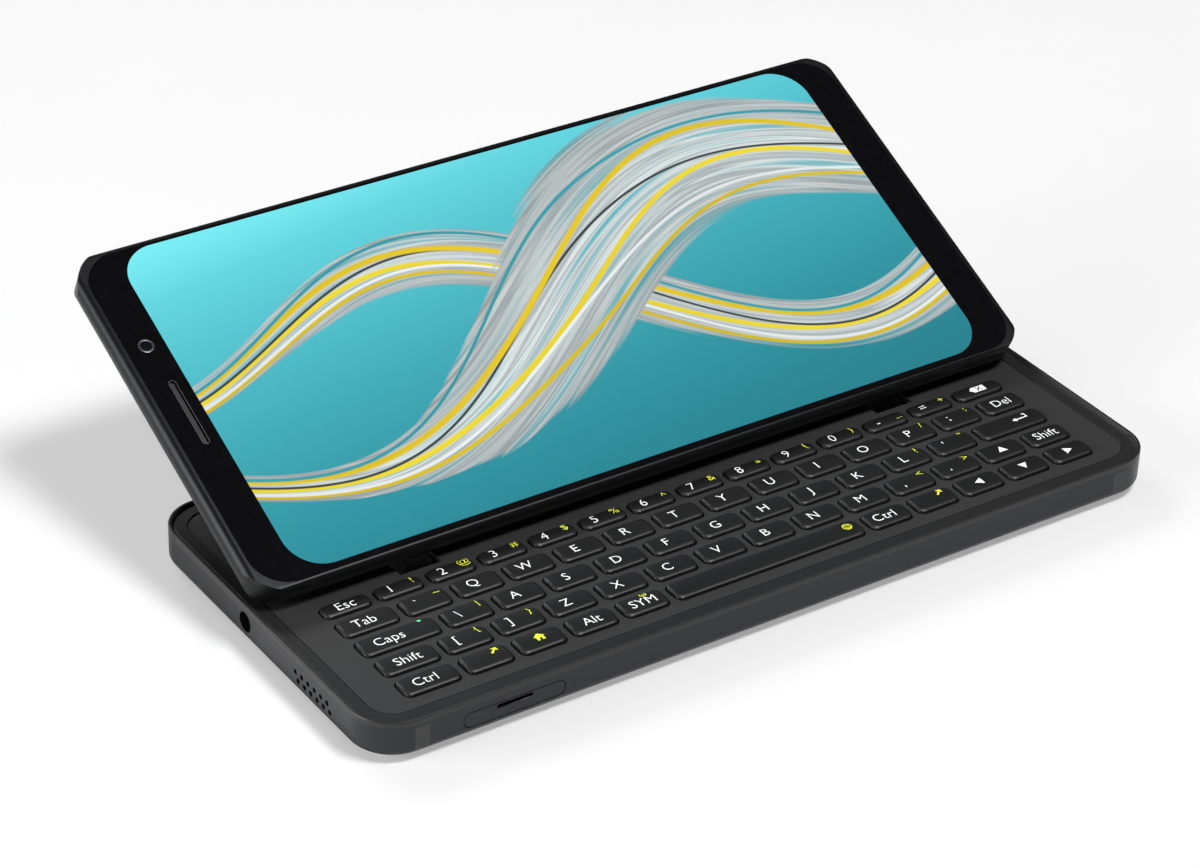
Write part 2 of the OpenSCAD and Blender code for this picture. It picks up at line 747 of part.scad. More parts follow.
// Half of the outline of a section, from the back face's flat round to the glass
function edge_section(back_a, front_a) = concat(
    [for (i = [0 : 12]) let (a = 90 * i / 12)
        [back_a - back_a * sin(a), back_round_w - back_round_w * cos(a)]],
    [for (i = [1 : 8]) let (a = 90 * i / 8)
        [front_a - front_a * cos(a), back_round_w + front_round_w * sin(a)]]);

module section(width, back_a, front_a) {
    e = edge_section(back_a, front_a);
    polygon(concat(e, [for (i = [len(e) - 1 : -1 : 0]) [width - e[i][0], e[i][1]]]));
}

// The outside of the display half: three prisms crossed
module display_solid() {
    intersection() {
        translate([-body_w / 2, 0, 0]) rotate([90, 0, 90]) linear_extrude(body_w)
            section(body_d, back_round_v, front_round_v);
        translate([-body_w / 2, body_d, 0]) rotate([90, 0, 0]) linear_extrude(body_d)
            section(body_w, back_round_u, front_round_u);
        translate([0, body_d / 2, -1]) linear_extrude(disp_t + 2) rrect(body_w, body_d, corner_r);
    }
}

module display_rrect(in_u, in_v, r) {
    translate([0, body_d / 2]) rrect(body_w - 2 * in_u, body_d - 2 * in_v, r);
}

module bracket_pockets(w0, w1, extra) {
    slab(w0, w1) for (s = [-1, 1])
        translate([s * hinge_x, (pocket_v0 + pocket_v1) / 2])
            square([slot_w + 2 * extra, pocket_v1 - pocket_v0 + 2 * extra], center = true);
}

module display_shell() {
    color([0.24, 0.245, 0.25]) in_display() difference() {
        display_solid();
        slab(glass_w0, disp_t + 1)
            display_rrect(glass_in_u - trim_w, glass_in_v - trim_w, corner_r - glass_in_v + trim_w);
        slab(plate_w0, disp_t + 1) display_rrect(3.6, 4.3, 3);
        difference() {
            slab(shell_floor, disp_t + 1) display_rrect(4.6, 8.2, 3);
            bracket_pockets(-1, plate_w0 - tiny, 0.9);
        }
        bracket_pockets(-1, plate_w0 + tiny, 0);
    }
}

module glass_trim() {
    color([0.72, 0.73, 0.74]) in_display() intersection() {
        display_solid();
        slab(glass_w0, disp_t) difference() {
            display_rrect(glass_in_u - trim_w, glass_in_v - trim_w, corner_r - glass_in_v + trim_w);
            display_rrect(glass_in_u, glass_in_v, corner_r - glass_in_v);
        }
    }
}

module cover_glass() {
    color([0.04, 0.04, 0.05]) in_display() intersection() {
        display_solid();
        slab(glass_w0, disp_t) difference() {
            display_rrect(glass_in_u, glass_in_v, corner_r - glass_in_v);
            translate(earpiece_uv) rotate(90) rrect(earpiece_l, earpiece_d, earpiece_d / 2 - tiny);
        }
    }
}

module screen_panel() {
    color([0.2, 0.7, 0.75]) in_display() slab(panel_w0, glass_w0) display_rrect(7.8, 4.6, 3);
}

module display_plate() {
    color([0.6, 0.61, 0.63]) in_display() difference() {
        slab(plate_w0, panel_w0) display_rrect(3.8, 4.5, 3);
        bracket_pockets(plate_w0 - 1, panel_w0 + 1, 0.1);
    }
}

module front_camera() {
    color([0.06, 0.06, 0.08]) in_display() translate([camera_uv[0], camera_uv[1], panel_w0])
        cylinder(r = 1.3, h = panel_t);
}

module earpiece() {
    color([0.15, 0.15, 0.16]) in_display() {
        slab(panel_w0, glass_w0) translate(earpiece_uv) square([1.8, earpiece_l + 1], center = true);
        slab(glass_w0 - tiny, disp_t - 0.5) translate(earpiece_uv) rotate(90)
            rrect(earpiece_l - 0.2, earpiece_d - 0.2, earpiece_d / 2 - 0.11);
    }
}

module display_bracket(side) {
    w0 = 0.1;
    v0 = pocket_v0 + 0.1;
    v1 = pocket_v1 - 0.1;
    color([0.62, 0.63, 0.65]) difference() {
        in_display() {
            for (s = [-1, 1]) translate([side * hinge_x + s * (cheek_in + cheek_t / 2) - cheek_t / 2, v0, w0])
                cube([cheek_t, v1 - v0, panel_w0 - w0]);
            translate([side * hinge_x - cheek_in - tiny, v0, panel_w0 - web_t])
                cube([2 * cheek_in + 2 * tiny, v1 - v0, web_t]);
        }
        pin_along_x(side > 0 ? 0 : -hinge_x, side > 0 ? hinge_x : 0,
                    open_pin(front_pin_v)[0], open_pin(front_pin_v)[1], pin_r);
    }
}

// ---------------------------------------------------------------- the nodes

side_frame();
back_cover();
deck_frame();
keyboard_deck();
rear_panel();
key_mat();
keyboard_board();
main_board();
board_shields();
board_screws();
battery();
headphone_socket();
usb_c_socket();
speaker(-1);  // speaker_left
speaker(1);  // speaker_right
vibration_motor();
sim_reader();
sim_tray();
volume_rocker();
button(power_x, power_l);  // power_button
button(shutter_x, shutter_l);  // shutter_button
rear_cameras();
camera_window();
flash_light();
antenna_bands();
hinge_bracket(-1);  // hinge_bracket_left
hinge_bracket(1);  // hinge_bracket_right
hinge_pins();
front_arm(-1);  // front_arm_left
front_arm(1);  // front_arm_right
rear_arm(-1);  // rear_arm_left
rear_arm(1);  // rear_arm_right
display_pins();
display_shell();
glass_trim();
cover_glass();
screen_panel();
display_plate();
front_camera();
earpiece();
display_bracket(-1);  // display_bracket_left
display_bracket(1);  // display_bracket_right
keys(4, 0, 0);  // esc_key
keys(4, 1, 12);  // number_keys
keys(4, 13, 13);  // backspace_key
keys(3, 0, 0);  // tab_key
keys(3, 1, 12);  // top_letter_keys
keys(3, 13, 13);  // delete_key
keys(2, 0, 0);  // caps_key
keys(2, 1, 11);  // middle_letter_keys
keys(2, 12, 12);  // enter_key
keys(1, 0, 0);  // shift_key_left
union() {  // lower_keys
    keys(1, 1, 11);
    keys(0, 1, 4);
    keys(0, 6, 7);
}
keys(1, 12, 12);  // arrow_up_key
keys(1, 13, 13);  // shift_key_right
keys(0, 0, 0);  // ctrl_key_left
keys(0, 5, 5);  // space_key
keys(0, 8, 8);  // arrow_left_key
keys(0, 9, 9);  // arrow_down_key
keys(0, 10, 10);  // arrow_right_key
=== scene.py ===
"""A landscape slider phone, dressed for its studio picture.

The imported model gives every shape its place. This file adds rounded key caps with
their lettering, smooth metal and glass, the lit screen, and the studio round them.
Lengths are in metres, as in the frame, and MM turns a millimetre into one.
"""

import json
import math

import bmesh
import bpy
from bpy.props import FloatProperty, FloatVectorProperty, IntProperty, PointerProperty
from mathutils import Matrix, Vector

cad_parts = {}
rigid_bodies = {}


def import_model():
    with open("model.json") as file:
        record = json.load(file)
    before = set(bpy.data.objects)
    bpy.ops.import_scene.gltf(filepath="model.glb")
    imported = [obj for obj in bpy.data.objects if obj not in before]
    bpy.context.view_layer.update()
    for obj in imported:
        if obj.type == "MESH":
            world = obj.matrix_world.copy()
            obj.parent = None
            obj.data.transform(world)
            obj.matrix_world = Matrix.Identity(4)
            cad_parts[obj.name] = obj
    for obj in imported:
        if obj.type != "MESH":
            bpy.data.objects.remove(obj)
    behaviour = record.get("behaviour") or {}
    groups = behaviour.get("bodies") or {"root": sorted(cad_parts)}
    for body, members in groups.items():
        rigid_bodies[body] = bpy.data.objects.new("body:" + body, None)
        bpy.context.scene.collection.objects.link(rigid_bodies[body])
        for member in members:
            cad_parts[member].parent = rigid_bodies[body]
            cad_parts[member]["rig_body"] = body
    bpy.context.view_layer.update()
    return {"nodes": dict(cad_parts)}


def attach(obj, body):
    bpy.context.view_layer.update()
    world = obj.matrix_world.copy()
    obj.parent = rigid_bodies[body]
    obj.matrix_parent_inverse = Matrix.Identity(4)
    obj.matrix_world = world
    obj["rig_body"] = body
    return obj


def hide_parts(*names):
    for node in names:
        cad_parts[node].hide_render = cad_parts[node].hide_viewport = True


bl_info = {
    "name": "Slider phone",
    "version": (1, 0, 0),
    "blender": (4, 5, 0),
    "location": "View3D > Sidebar > Phone",
    "description": "Dresses a sliding phone: key caps, metal, glass, lit screen and studio",
    "category": "Object",
}

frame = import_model()
MM = 0.001
TO_METRES = Matrix.Diagonal((MM, MM, MM, 1))

# The keyboard, front row first: the x of the row's second key and the row's depth, in
# millimetres, then every key as its node, its main sign, its shifted sign, and the
# number of pitches it takes. A sign in angle brackets is drawn, not typed.
KEY_DEPTH, NUMBER_KEY_DEPTH = 4.98, 3.80
ROWS = [
    (-56.55, KEY_DEPTH, [
        ("ctrl_key_left", "Ctrl", "", 1), ("lower_keys", "", "<launch>", 1), ("lower_keys", "", "<home>", 1),
        ("lower_keys", "Alt", "", 1), ("lower_keys", "SYM", "<smile>", 1), ("space_key", "", "<globe>", 4),
        ("lower_keys", "Ctrl", "", 1), ("lower_keys", "", "<launch>", 1), ("arrow_left_key", "<left>", "", 1),
        ("arrow_down_key", "<down>", "", 1), ("arrow_right_key", "<right>", "", 1)]),
    (-56.55, KEY_DEPTH, [
        ("shift_key_left", "Shift", "", 1), ("lower_keys", "[", "{", 1), ("lower_keys", "]", "}", 1)]
        + [("lower_keys", c, "", 1) for c in "ZXCVBNM"]
        + [("lower_keys", ",", "<", 1), ("lower_keys", ".", ">", 1), ("arrow_up_key", "<up>", "", 1),
           ("shift_key_right", "Shift", "", 1)]),
    (-52.60, KEY_DEPTH, [
        ("caps_key", "Caps", "<light>", 1), ("middle_letter_keys", "\\", "|", 1)]
        + [("middle_letter_keys", c, "", 1) for c in "ASDFGHJK"]
        + [("middle_letter_keys", "L", "?", 1), ("middle_letter_keys", "'", '"', 1),
           ("enter_key", "<enter>", "", 1)]),
    (-56.55, KEY_DEPTH, [
        ("tab_key", "Tab", "", 1), ("top_letter_keys", "`", "~", 1)]
        + [("top_letter_keys", c, "", 1) for c in "QWERTYUIO"]
        + [("top_letter_keys", "P", "/", 1), ("top_letter_keys", ";", ":", 1), ("delete_key", "Del", "", 1)]),
    (-58.10, NUMBER_KEY_DEPTH, [("esc_key", "Esc", "", 1)]
        + [("number_keys", a, b, 1) for a, b in zip("1234567890-=", "!@#$%^&*()_+")]
        + [("backspace_key", "<erase>", "", 1)]),
]
FRONT_ROW = -29.65 * MM  # Front edge of the first row's openings in the deck
ROW_STEP = 6.03 * MM
PITCH = 9.67 * MM
WEB = 1.05 * MM  # Deck left between two openings
KEY_GAP = 0.26 * MM  # Room between a cap and its opening
FIELD = 67.9 * MM  # Half the width that the openings take
KEY_TOP = 7.7 * MM


# ------------------------------------------------------------------ settings

def size(name, default, description):
    return FloatProperty(name=name, default=default, description=description, unit="LENGTH", precision=5)


def colour(name, default, description):
    return FloatVectorProperty(name=name, default=default, description=description, subtype="COLOR", size=3,
                               min=0, max=1)


class KeySettings(bpy.types.PropertyGroup):
    corner: size("Corner", 1.15 * MM, "Radius of a cap's corners, seen from above")
    dome: size("Dome", 0.24 * MM, "Drop of a cap from its middle to its front and back edges")
    edge: size("Edge", 0.17 * MM, "Drop of the rounding along a cap's edge")
    edge_width: size("Edge width", 0.42 * MM, "Width of the rounding along a cap's edge")
    skirt: size("Skirt", 0.9 * MM, "Height of a cap's straight side")
    sign: size("Sign", 2.75 * MM, "Size of the main lettering")
    shifted: size("Shifted sign", 2.35 * MM, "Size of the lettering for the shifted sign")
    rows: IntProperty(name="Rows", default=18, min=6, description="Faces across a cap's depth")


class ColourSettings(bpy.types.PropertyGroup):
    metal: colour("Metal", (0.045, 0.046, 0.049), "Anodised frame of both halves")
    deck: colour("Deck", (0.026, 0.026, 0.027), "Plastic round the keys")
    caps: colour("Caps", (0.008, 0.008, 0.0085), "Key caps")
    rim: colour("Rim", (0.017, 0.017, 0.018), "Raised rim and dark band of the base")
    white: colour("White signs", (0.86, 0.87, 0.88), "Main lettering")
    yellow: colour("Yellow signs", (0.80, 0.84, 0.04), "Shifted lettering")


class StageSettings(bpy.types.PropertyGroup):
    lens: FloatProperty(name="Lens", default=111.136, description="Focal length of the camera",
                        subtype="DISTANCE_CAMERA")
    floor: size("Floor", 6.0, "Width of the floor")
    place: FloatVectorProperty(name="Place", default=(-0.304402, -0.417757, 0.336935), subtype="TRANSLATION",
                               description="Where the camera stands")
    turn: FloatVectorProperty(name="Turn", default=[math.radians(a) for a in (58.164, -1.718, -33.777)],
                              subtype="EULER", description="How the camera is turned")


# ------------------------------------------------------------------ node helpers

class Graph:
    """Adds nodes to a tree and wires them, so that a formula reads as one."""

    def __init__(self, tree):
        self.tree = tree

    def add(self, kind, *inputs, **settings):
        node = self.tree.nodes.new(kind)
        for name, value in settings.items():
            setattr(node, name, value)
        for i, value in enumerate(inputs):
            self.put(node.inputs[i], value)
        return node

    def put(self, socket, value):
        if value is None:
            return
        if isinstance(value, bpy.types.NodeSocket):
            self.tree.links.new(value, socket)
        elif isinstance(value, bpy.types.Node):
            self.tree.links.new(value.outputs[0], socket)
        else:
            socket.default_value = value

    def math(self, operation, a, b=None, c=None):
        return self.add("ShaderNodeMath", a, b, c, operation=operation).outputs[0]

    def ramp(self, value, stops, mode="LINEAR"):
        node = self.add("ShaderNodeValToRGB", value)
        node.color_ramp.interpolation = mode
        while len(node.color_ramp.elements) < len(stops):
            node.color_ramp.elements.new(0.5)
        for element, (place, rgb) in zip(node.color_ramp.elements, stops):
            element.position = place
            element.color = (*rgb, 1)
        return node.outputs[0]

    def mix(self, factor, a, b):
        node = self.tree.nodes.new("ShaderNodeMix")
        node.data_type = "RGBA"
        self.put(node.inputs[0], factor)
        self.put(node.inputs[6], a)
        self.put(node.inputs[7], b)
        return node.outputs[2]


def rgba(rgb):
    return (*rgb, 1)


def scaled(rgb, k):
    return tuple(min(1, c * k) for c in rgb)


def new_material(name):
    material = bpy.data.materials.new(name)
    material.use_nodes = True
    graph = Graph(material.node_tree)
    return material, graph, material.node_tree.nodes["Principled BSDF"]


def surface(name, rgb, roughness, metallic=0.0, grain=900.0, spread=0.12, bump=0.0, specular=0.5, coat=0.0):
    """A moulded, painted or anodised finish: fine grain, a slow drift of tone, and wear in the sheen."""
    material, graph, bsdf = new_material(name)
    place = graph.add("ShaderNodeTexCoord").outputs["Object"]
    drift = graph.add("ShaderNodeTexNoise", place)
    drift.inputs["Scale"].default_value = 35
    drift.inputs["Detail"].default_value = 3
    fine = graph.add("ShaderNodeTexNoise", place)
    fine.inputs["Scale"].default_value = grain
    fine.inputs["Detail"].default_value = 2
    tone = graph.math("MULTIPLY_ADD", fine.outputs[0], 0.6, graph.math("MULTIPLY", drift.outputs[0], 0.4))
    dark, light = rgba(scaled(rgb, 1 - spread)), rgba(scaled(rgb, 1 + spread))
    graph.put(bsdf.inputs["Base Color"], graph.mix(tone, dark, light))
    graph.put(bsdf.inputs["Roughness"], graph.math("MULTIPLY_ADD", drift.outputs[0], 0.08, roughness - 0.04))
    bsdf.inputs["Metallic"].default_value = metallic
    bsdf.inputs["Specular IOR Level"].default_value = specular
    bsdf.inputs["Coat Weight"].default_value = coat
    if bump:
        relief = graph.add("ShaderNodeBump")
        relief.inputs["Strength"].default_value = 0.25
        relief.inputs["Distance"].default_value = bump
        graph.put(relief.inputs["Height"], fine.outputs[0])
        graph.put(bsdf.inputs["Normal"], relief.outputs[0])
    return material


def glowing_ink(name, rgb, glow):
    """Printed lettering: a thin, slightly uneven ink with a glow; on the signs the glow is painted light."""
    material = surface(name, rgb, 0.5, grain=2500, spread=0.05)
    bsdf = material.node_tree.nodes["Principled BSDF"]
    bsdf.inputs["Emission Color"].default_value = rgba(rgb)
    # Emission on the ink: painted light that lifts the signs above what the lamps give them
    bsdf.inputs["Emission Strength"].default_value = glow
    return material


# ------------------------------------------------------------------ mesh helpers

SHARP = math.radians(32)  # An edge of a CAD node that turns by more than this stays sharp


def add_piece(name, mesh, materials, body, replaces=()):
    piece = bpy.data.objects.new(name, mesh)
    bpy.context.scene.collection.objects.link(piece)
    if piece.data.materials:
        # Only then, because clearing also puts every face on the first slot
        piece.data.materials.clear()
    for material in materials:
        piece.data.materials.append(material)
    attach(piece, body)
    if replaces:
        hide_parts(*replaces)
    return piece


def to_mesh(piece, name):
    """What the modifiers and nodes of an object come to, as a plain mesh. The object goes."""
    graph = bpy.context.evaluated_depsgraph_get()
    mesh = bpy.data.meshes.new_from_object(piece.evaluated_get(graph))
    mesh.name = name
    data = piece.data
    bpy.data.objects.remove(piece)
    (bpy.data.curves if isinstance(data, bpy.types.Curve) else bpy.data.meshes).remove(data)
    return mesh


def smooth_copy(node, material, bevel=0.0):
    """A CAD node with its facets shaded round and its sharp edges eased."""
    source = frame["nodes"][node]
    mesh = source.data.copy()
    form = bmesh.new()
    form.from_mesh(mesh)
    bmesh.ops.remove_doubles(form, verts=form.verts, dist=0.002 * MM)
    bmesh.ops.dissolve_limit(form, angle_limit=math.radians(0.4), verts=form.verts, edges=form.edges)
    form.to_mesh(mesh)
    form.free()
    mesh.shade_smooth()
    mesh.set_sharp_from_angle(angle=SHARP)
    piece = add_piece(node + "_finish", mesh, [material], source["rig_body"], [node])
    if bevel:
        ease = piece.modifiers.new("Eased edges", "BEVEL")
        ease.width = bevel
        ease.segments = 2
        ease.limit_method = "ANGLE"
        ease.angle_limit = SHARP
        ease.harden_normals = False
        ease.use_clamp_overlap = True
    weigh = piece.modifiers.new("Weighted normals", "WEIGHTED_NORMAL")
    weigh.keep_sharp = True
    return piece


def finish(material, *nodes):
    """Gives CAD nodes a finish and keeps their shapes."""
    for node in nodes:
        slots = frame["nodes"][node].data.materials
        slots.clear()
        slots.append(material)


# ------------------------------------------------------------------ key caps

def key_tree():
    """Geometry Nodes for one cap: a fine sheet pulled to a rounded rectangle, domed, with a skirt."""
    tree = bpy.data.node_groups.new("Key cap", "GeometryNodeTree")
    face = tree.interface
    for name in ("Width", "Depth", "Corner", "Dome", "Edge", "Edge Width", "Skirt"):
        face.new_socket(name=name, in_out="INPUT", socket_type="NodeSocketFloat")
    face.new_socket(name="Columns", in_out="INPUT", socket_type="NodeSocketInt")
    face.new_socket(name="Rows", in_out="INPUT", socket_type="NodeSocketInt")
    face.new_socket(name="Material", in_out="INPUT", socket_type="NodeSocketMaterial")
    face.new_socket(name="Cap", in_out="OUTPUT", socket_type="NodeSocketGeometry")
    g = Graph(tree)
    given = tree.nodes.new("NodeGroupInput").outputs
    sheet = g.add("GeometryNodeMeshGrid", 2.0, 2.0, given["Columns"], given["Rows"])
    spot = g.add("ShaderNodeSeparateXYZ", g.add("GeometryNodeInputPosition"))

    def spread(axis, whole):
        """Distance from the middle, with the sheet's lines drawn together at the edges."""
        far = g.math("SUBTRACT", 1.0, g.math("ABSOLUTE", axis))
        near = g.math("SUBTRACT", 1.0, g.math("POWER", far, 1.7))
        return g.math("MULTIPLY", near, g.math("MULTIPLY", whole, 0.5))

    def past(value, whole):
        """How far a point lies past the middle of the corner's arc."""
        straight = g.math("SUBTRACT", g.math("MULTIPLY", whole, 0.5), given["Corner"])
        return g.math("MAXIMUM", g.math("SUBTRACT", value, straight), 0.0)

    ax, ay = spread(spot.outputs[0], given["Width"]), spread(spot.outputs[1], given["Depth"])
    qx, qy = past(ax, given["Width"]), past(ay, given["Depth"])
    reach = g.math("SQRT", g.math("ADD", g.math("MULTIPLY", qx, qx), g.math("MULTIPLY", qy, qy)))
    pull = g.math("MINIMUM", 1.0, g.math("DIVIDE", given["Corner"], g.math("MAXIMUM", reach, 1e-9)))
    left = g.math("SUBTRACT", 1.0, pull)
    px = g.math("SUBTRACT", ax, g.math("MULTIPLY", qx, left))
    py = g.math("SUBTRACT", ay, g.math("MULTIPLY", qy, left))
    # Distance to the edge, over the corners and along the sides
    corner_room = g.math("SUBTRACT", given["Corner"], g.math("MINIMUM", reach, given["Corner"]))
    side_room = g.math("MINIMUM", g.math("SUBTRACT", g.math("MULTIPLY", given["Width"], 0.5), px),
                       g.math("SUBTRACT", g.math("MULTIPLY", given["Depth"], 0.5), py))
    in_corner = g.math("MULTIPLY", g.math("GREATER_THAN", qx, 0.0), g.math("GREATER_THAN", qy, 0.0))
    room = g.math("ADD", g.math("MULTIPLY", corner_room, in_corner),
                  g.math("MULTIPLY", side_room, g.math("SUBTRACT", 1.0, in_corner)))
    slope = g.math("SUBTRACT", 1.0, g.math("MINIMUM", 1.0, g.math("DIVIDE", room, given["Edge Width"])))
    across = g.math("DIVIDE", py, g.math("MULTIPLY", given["Depth"], 0.5))
    fall = g.math("ADD", g.math("MULTIPLY", g.math("MULTIPLY", across, across), given["Dome"]),
                  g.math("MULTIPLY", g.math("POWER", slope, 2.2), given["Edge"]))
    place = g.add("ShaderNodeCombineXYZ", g.math("MULTIPLY", px, g.math("SIGN", spot.outputs[0])),
                  g.math("MULTIPLY", py, g.math("SIGN", spot.outputs[1])), g.math("MULTIPLY", fall, -1.0))
    domed = g.add("GeometryNodeSetPosition", sheet)
    g.put(domed.inputs["Position"], place)
    rim = g.add("FunctionNodeCompare", data_type="INT", operation="EQUAL")
    g.put(rim.inputs[2], g.add("GeometryNodeInputMeshEdgeNeighbors"))
    rim.inputs[3].default_value = 1
    skirt = g.add("GeometryNodeExtrudeMesh", mode="EDGES")
    g.put(skirt.inputs["Mesh"], domed)
    g.put(skirt.inputs["Selection"], rim)
    down = g.math("MULTIPLY", given["Skirt"], -1.0)
    g.put(skirt.inputs["Offset"], g.add("ShaderNodeCombineXYZ", 0.0, 0.0, down))
    skirt.inputs["Offset Scale"].default_value = 1.0
    welded = g.add("GeometryNodeMergeByDistance", skirt)
    welded.inputs["Distance"].default_value = 0.004 * MM
    soft = g.add("GeometryNodeSetShadeSmooth", welded)
    real = g.add("GeometryNodeRealizeInstances", soft)
    coat = g.add("GeometryNodeSetMaterial", real)
    g.put(coat.inputs["Material"], given["Material"])
    g.add("NodeGroupOutput", coat)
    return tree


def run_tree(tree, name, values):
    """Runs a tree on an empty mesh with these named inputs, and gives back the mesh."""
    piece = bpy.data.objects.new(name, bpy.data.meshes.new(name))
    bpy.context.scene.collection.objects.link(piece)
    modifier = piece.modifiers.new(name, "NODES")
    modifier.node_group = tree
    for item in tree.interface.items_tree:
        if item.item_type == "SOCKET" and item.in_out == "INPUT" and item.name in values:
            modifier[item.identifier] = values[item.name]
    mesh = to_mesh(piece, name)
    # Set Material puts the faces on a second slot, and a cap's plastic is its first material
    mesh.polygons.foreach_set("material_index", [0] * len(mesh.polygons))
    return mesh


class Cap:
    """Where one key cap is, and how high its top is at any point."""

    def __init__(self, x0, x1, y0, depth, keys):
        self.x, self.y = (x0 + x1) / 2, y0 + depth / 2
        self.width, self.depth = x1 - x0 - 2 * KEY_GAP, depth - 2 * KEY_GAP
        self.keys = keys

    def height(self, x, y):
        k = self.keys
        dx, dy = abs(x - self.x), abs(y - self.y)
        room = min(self.width / 2 - dx, self.depth / 2 - dy)
        slope = max(0.0, 1 - room / k.edge_width)
        return KEY_TOP - k.dome * (dy / (self.depth / 2)) ** 2 - k.edge * slope ** 2.2

    def lay(self, mark, dx, dy, lift):
        """Lays a flat mark on the cap, so far from its middle and so high over its top."""
        for vertex in mark.vertices:
            x, y = vertex.co.x + self.x + dx, vertex.co.y + self.y + dy
            vertex.co = (x, y, self.height(x, y) + lift)


def lettering(text, height, bold=0.0):
    """A typed sign as a flat mesh, centred on the origin."""
    curve = bpy.data.curves.new("sign", "FONT")
    curve.body = text
    curve.size = height
    curve.offset = bold
    curve.resolution_u = 3
    piece = bpy.data.objects.new("sign", curve)
    bpy.context.scene.collection.objects.link(piece)
    bpy.context.view_layer.update()
    mesh = to_mesh(piece, "sign")
    xs, ys = [v.co.x for v in mesh.vertices], [v.co.y for v in mesh.vertices]
    tall = text not in ",.'\"`~-=_"
    middle = (min(ys) + max(ys)) / 2 if tall and len(text) == 1 else 0.36 * height
    mesh.transform(Matrix.Translation((-(min(xs) + max(xs)) / 2, -middle, 0)))
    return mesh


def sliced(mesh):
    """Cuts a flat sign into strips, so that it can follow the dome of a cap."""
    form = bmesh.new()
    form.from_mesh(mesh)
    heights = [vertex.co.y for vertex in form.verts]
    step, y = 0.25 * MM, min(heights)
    while y + step < max(heights):
        y += step
        whole = [*form.verts, *form.edges, *form.faces]
        bmesh.ops.bisect_plane(form, geom=whole, plane_co=(0, y, 0), plane_no=(0, 1, 0))
    form.to_mesh(mesh)
    form.free()


def outline(points):
    """A flat sign from its corners, anticlockwise, in units of the sign's size."""
    mesh = bpy.data.meshes.new("sign")
    mesh.from_pydata([(x, y, 0) for x, y in points], [], [list(range(len(points)))])
    return mesh


def ring(outer, inner, steps=28, start=0.0, sweep=360.0):
    """A flat ring, or a stretch of one."""
    turns = [math.radians(start + sweep * i / steps) for i in range(steps + 1)]
    points = [(r * math.cos(a), r * math.sin(a), 0) for a in turns for r in (outer, inner)]
    faces = [(2 * i, 2 * i + 2, 2 * i + 3, 2 * i + 1) for i in range(steps)]
    mesh = bpy.data.meshes.new("sign")
    mesh.from_pydata(points, [], faces)
    return mesh


def bar(x0, y0, x1, y1, width):
    d = Vector((x1 - x0, y1 - y0)).normalized() * width / 2
    return outline([(x0 + d.y, y0 - d.x), (x1 + d.y, y1 - d.x), (x1 - d.y, y1 + d.x), (x0 - d.y, y0 + d.x)])


def drawn(sign):
    """The signs that no letter gives, in millimetres about their own middle."""
    if sign in ("<left>", "<right>", "<up>", "<down>"):
        turn = {"<right>": 0, "<up>": 90, "<left>": 180, "<down>": 270}[sign]
        arrow = outline([(-0.72, -0.88), (0.82, 0), (-0.72, 0.88)])
        arrow.transform(Matrix.Rotation(math.radians(turn), 4, "Z"))
        return [arrow]
    if sign == "<enter>":
        return [bar(-1.1, -0.3, 1.5, -0.3, 0.26), bar(1.37, -0.43, 1.37, 0.85, 0.26),
                bar(0.95, 0.72, 1.5, 0.72, 0.26), outline([(-1.75, -0.3), (-0.85, -0.8), (-0.85, 0.2)])]
    if sign == "<erase>":
        # Four wedges that leave the cross between them open
        gap, arm, mid, top = 0.09, 0.42, 0.3, 0.78
        crotch = gap * 1.4
        left = [(-1.65, 0), (-0.9, -top), (mid - arm, -top), (mid - arm - gap, -arm + gap), (mid - crotch, 0),
                (mid - arm - gap, arm - gap), (mid - arm, top), (-0.9, top)]
        right = [(1.6, -top), (1.6, top), (mid + arm, top), (mid + arm + gap, arm - gap), (mid + crotch, 0),
                 (mid + arm + gap, gap - arm), (mid + arm, -top)]
        upper = [(mid, crotch), (mid + arm - gap, arm + gap), (mid + arm, top), (mid - arm, top),
                 (mid - arm + gap, arm + gap)]
        lower = [(x, -y) for x, y in reversed(upper)]
        return [outline(points) for points in (left, right, upper, lower)]
    if sign == "<launch>":
        return [bar(-0.62, -0.62, 0.35, 0.35, 0.34), outline([(-0.25, 0.72), (0.72, -0.25), (0.72, 0.72)])]
    if sign == "<home>":
        return [outline([(-1.05, 0.05), (1.05, 0.05), (0, 1.0)]), bar(-0.7, -0.4, -0.22, -0.4, 0.9),
                bar(0.22, -0.4, 0.7, -0.4, 0.9), bar(-0.3, -0.12, 0.3, -0.12, 0.34)]
    if sign == "<smile>":
        return [ring(0.62, 0.5), ring(0.36, 0.24, 12, 200, 140), ring(0.1, 0, 8)]
    if sign == "<globe>":
        lines = [ring(0.85, 0.71)] + [bar(-0.72, y, 0.72, y, 0.12) for y in (-0.28, 0.28)]
        upright = ring(0.80, 0.66)
        upright.transform(Matrix.Diagonal((0.5, 1, 1, 1)))
        return lines + [upright]
    return [ring(0.34, 0.0, 20)]


# How far signs stand from the middle of their cap, in millimetres. A pair is a sign
# that shares its cap with a shifted one.
LETTER_SHIFT = (-0.8, 0)
PAIR_SHIFT = (-1.6, 0.05)
SHIFTED_SHIFT = (2.65, 1.2)
SHIFTED_NUMBER_SHIFT = (2.65, 0.55)
BIG_SIGN_SHIFT = {"<enter>": (2.4, 0.3)}
SMALL_SIGN_SHIFT = {"<launch>": (1.85, 0.9), "<smile>": (1.1, 1.7), "<globe>": (16.4, 0.4),
                    "<light>": (4.8, 1.8), "<home>": (0.2, 0.3)}
WORD_SHIFT = {"Tab": -0.6, "Caps": -1.7, "Ctrl": -0.6}


